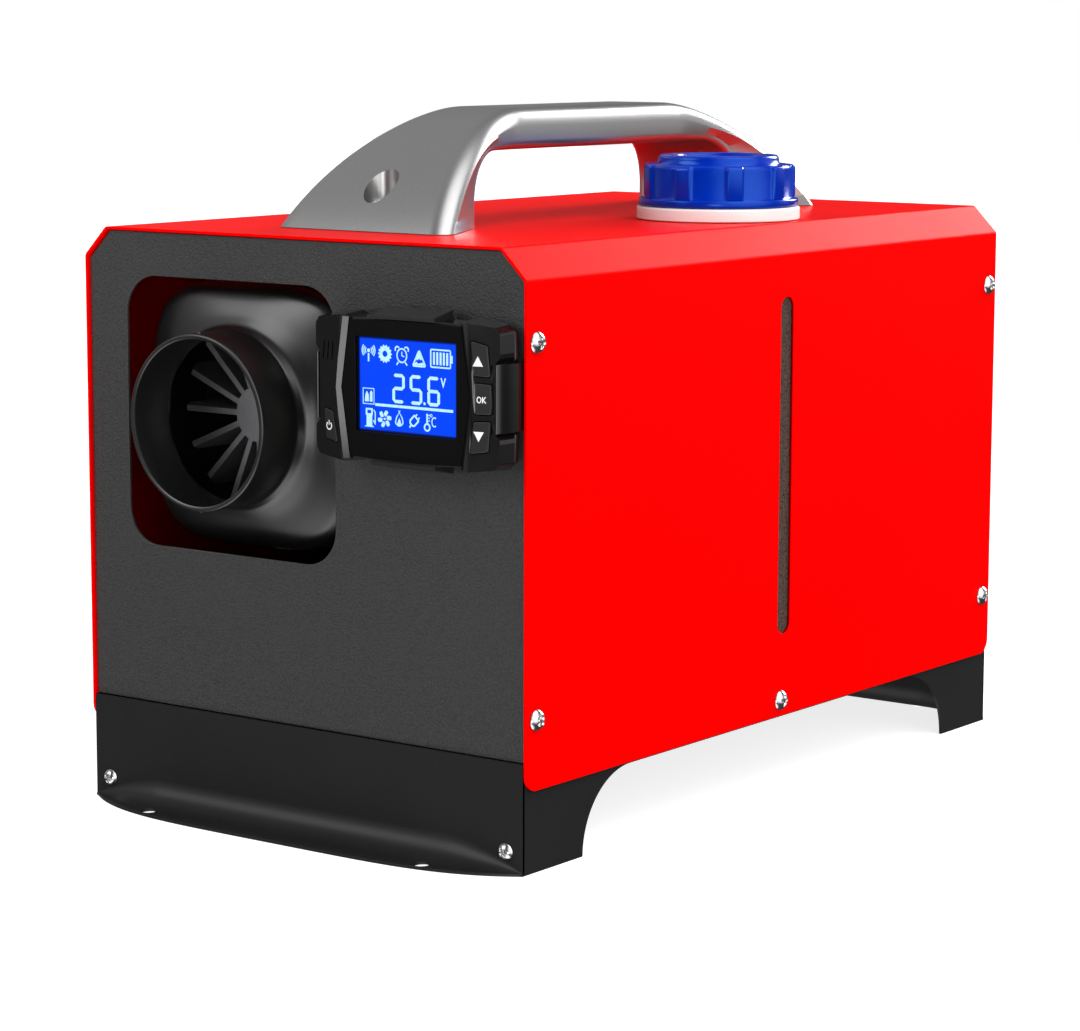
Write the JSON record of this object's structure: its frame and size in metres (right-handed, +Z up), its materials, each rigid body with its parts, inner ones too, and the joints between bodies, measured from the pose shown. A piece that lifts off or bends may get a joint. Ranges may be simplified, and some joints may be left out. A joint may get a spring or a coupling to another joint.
{
  "type": "diesel air heater",
  "caption": "Portable forced-air fuel heater: sheet-metal case with carrying handle, filler cap, round warm-air outlet and a clip-on display controller.",
  "frame": {"origin": "on the floor under the middle of the case", "axes": "+Z up, -Y towards the front with the outlet and the controller, +X to the right as seen from the front"},
  "size_m": [0.2424, 0.413, 0.3],
  "materials": {
    "red_powder_coat": "gloss",
    "charcoal_powder_coat": "fine texture",
    "black_powder_coat": "satin",
    "silver_handle": "satin paint",
    "plated_screw": "polished",
    "plated_steel": "satin",
    "cast_aluminium": "as cast",
    "black_plastic": "satin",
    "hood_plastic": "satin",
    "controller_plastic": "semi gloss",
    "lens_gloss": "high gloss",
    "lcd_glass": "backlit blue",
    "board": "satin",
    "button_rubber": "satin",
    "tank_plastic": "translucent moulded",
    "collar_plastic": "moulded",
    "cap_plastic": "gloss",
    "rubber": "matt",
    "sight_strip": "speckled",
    "fuel_hose": "satin",
    "filter_plastic": "translucent",
    "unit_plastic": "satin"
  },
  "bodies": {
    "heater_body": {"base_tray": "black_powder_coat", "shell": "red_powder_coat", "front_panel": "charcoal_powder_coat", "rear_panel": "charcoal_powder_coat", "rear_guard": "black_plastic", "handle": "silver_handle", "handle_screw_front": "plated_screw", "handle_screw_rear": "plated_screw", "fuel_tank": "tank_plastic", "filler_collar": "collar_plastic", "fuel_window": "sight_strip", "tank_union": "black_plastic", "fuel_hose_tank": "fuel_hose", "fuel_filter": "filter_plastic", "fuel_pump": "plated_steel", "pump_bracket": "rubber", "fuel_hose_pump": "fuel_hose", "lower_casing": "black_plastic", "upper_casing": "black_plastic", "outlet_hood": "hood_plastic", "heat_exchanger": "cast_aluminium", "burner": "cast_aluminium", "glow_plug": "plated_steel", "blower_housing": "cast_aluminium", "fan_motor": "plated_steel", "intake_grille": "black_plastic", "control_unit": "unit_plastic", "heater_bracket": "plated_steel", "mounting_gasket": "rubber", "exhaust_pipe": "plated_steel", "air_intake_pipe": "plated_steel", "dc_socket": "black_plastic", "controller_bracket": "controller_plastic", "side_screw_right_1": "plated_screw", "side_screw_right_2": "plated_screw", "side_screw_right_3": "plated_screw", "side_screw_right_4": "plated_screw", "side_screw_right_5": "plated_screw", "side_screw_left_1": "plated_screw", "side_screw_left_2": "plated_screw", "side_screw_left_3": "plated_screw", "side_screw_left_4": "plated_screw", "side_screw_left_5": "plated_screw", "apron_screw_rear_right": "plated_screw", "apron_screw_rear_left": "plated_screw", "apron_screw_front_right": "plated_screw", "apron_screw_front_left": "plated_screw"},
    "cap_insert": {"cap_seal": "rubber"},
    "cap": {"fuel_cap": "cap_plastic"},
    "rotor": {"fan_wheel": "black_plastic", "combustion_impeller": "cast_aluminium"},
    "controller": {"controller_case": "controller_plastic", "controller_back": "controller_plastic", "controller_lens": "lens_gloss", "lcd_panel": "lcd_glass", "circuit_board": "board"},
    "key_up": {"button_up": "button_rubber"},
    "key_ok": {"button_ok": "button_rubber"},
    "key_down": {"button_down": "button_rubber"},
    "key_power": {"button_power": "button_rubber"}
  },
  "joints": [
    {"name": "cap_lift", "type": "slide", "parent": "heater_body", "child": "cap_insert", "axis": [0, 0, 1], "range_m": [0, 0.06]},
    {"name": "cap_turn", "type": "hinge", "parent": "cap_insert", "child": "cap", "pos_m": [0.0685, 0.022, 0.262], "axis": [0, 0, 1], "range_deg": [0, 540]},
    {"name": "fan_spin", "type": "hinge", "parent": "heater_body", "child": "rotor", "pos_m": [-0.038, 0.1, 0.1723], "axis": [0, 1, 0], "continuous": true},
    {"name": "controller_pull", "type": "slide", "parent": "heater_body", "child": "controller", "axis": [0, -1, 0], "range_m": [0, 0.03]},
    {"name": "press_up", "type": "slide", "parent": "controller", "child": "key_up", "axis": [0, 1, 0], "range_m": [0, 0.0008], "stiffness_N_per_m": 800},
    {"name": "press_ok", "type": "slide", "parent": "controller", "child": "key_ok", "axis": [0, 1, 0], "range_m": [0, 0.0008], "stiffness_N_per_m": 800},
    {"name": "press_down", "type": "slide", "parent": "controller", "child": "key_down", "axis": [0, 1, 0], "range_m": [0, 0.0008], "stiffness_N_per_m": 800},
    {"name": "press_power", "type": "slide", "parent": "controller", "child": "key_power", "axis": [0, 1, 0], "range_m": [0, 0.0008], "stiffness_N_per_m": 800}
  ]
}
